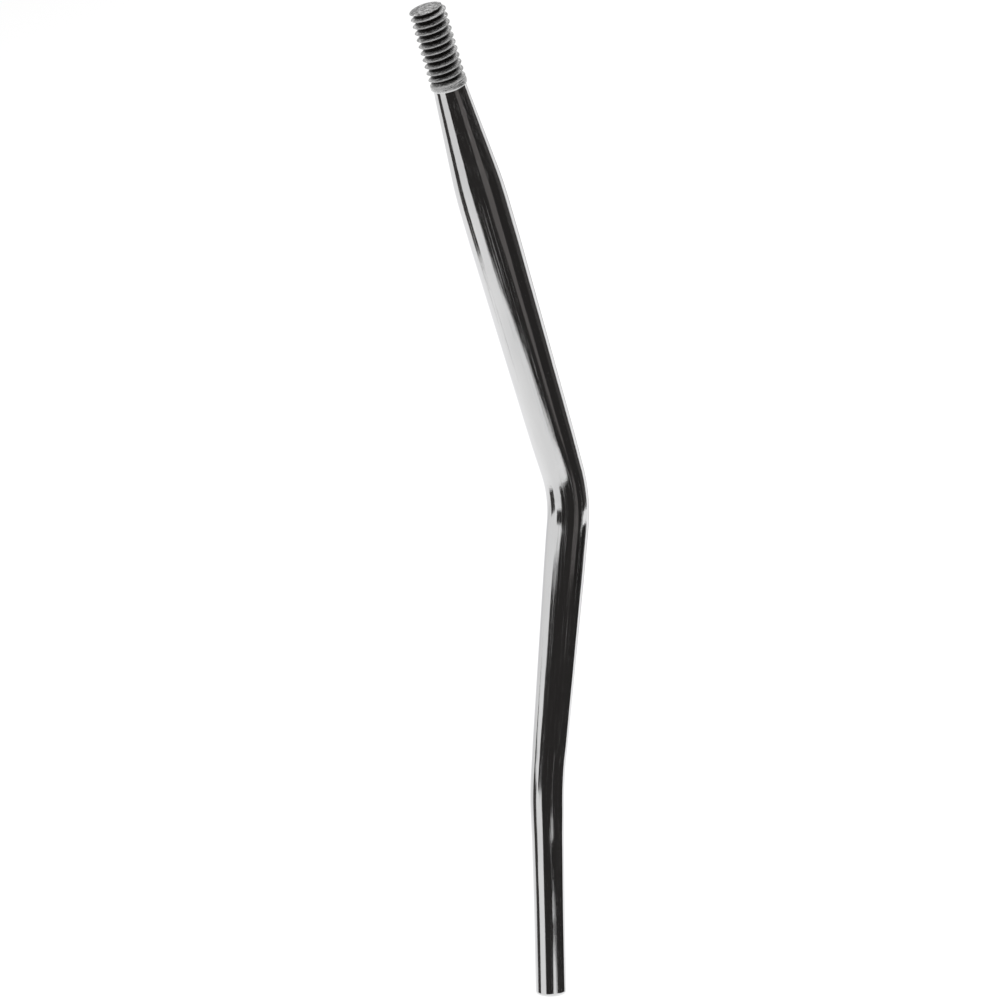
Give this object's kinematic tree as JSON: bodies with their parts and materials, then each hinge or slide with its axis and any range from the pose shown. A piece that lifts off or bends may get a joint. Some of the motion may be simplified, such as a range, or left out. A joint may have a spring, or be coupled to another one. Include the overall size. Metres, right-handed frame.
{
  "type": "tremolo arm",
  "caption": "Bent, tapered round steel bar with a right-hand male thread at one end, a flared neck, a bend below mid-length, a slight bend near the foot and a plain round end for a slip-on tip.",
  "frame": {"origin": "on the thread axis, at the foot of the full thread diameter, 0.7 mm above the shoulder where the shaft begins", "axes": "+Z along the thread axis, out of the threaded end; both bends lie in the XZ plane, and below the main bend the bar runs towards -X as it goes down"},
  "size_m": [0.0322, 0.0074, 0.1521],
  "materials": {
    "plated_steel": "bright mirror plating on the shaft, with fine hairline scratches; the thread is bare and dull"
  },
  "bodies": {
    "root": {"arm": "plated_steel"}
  },
  "joints": []
}
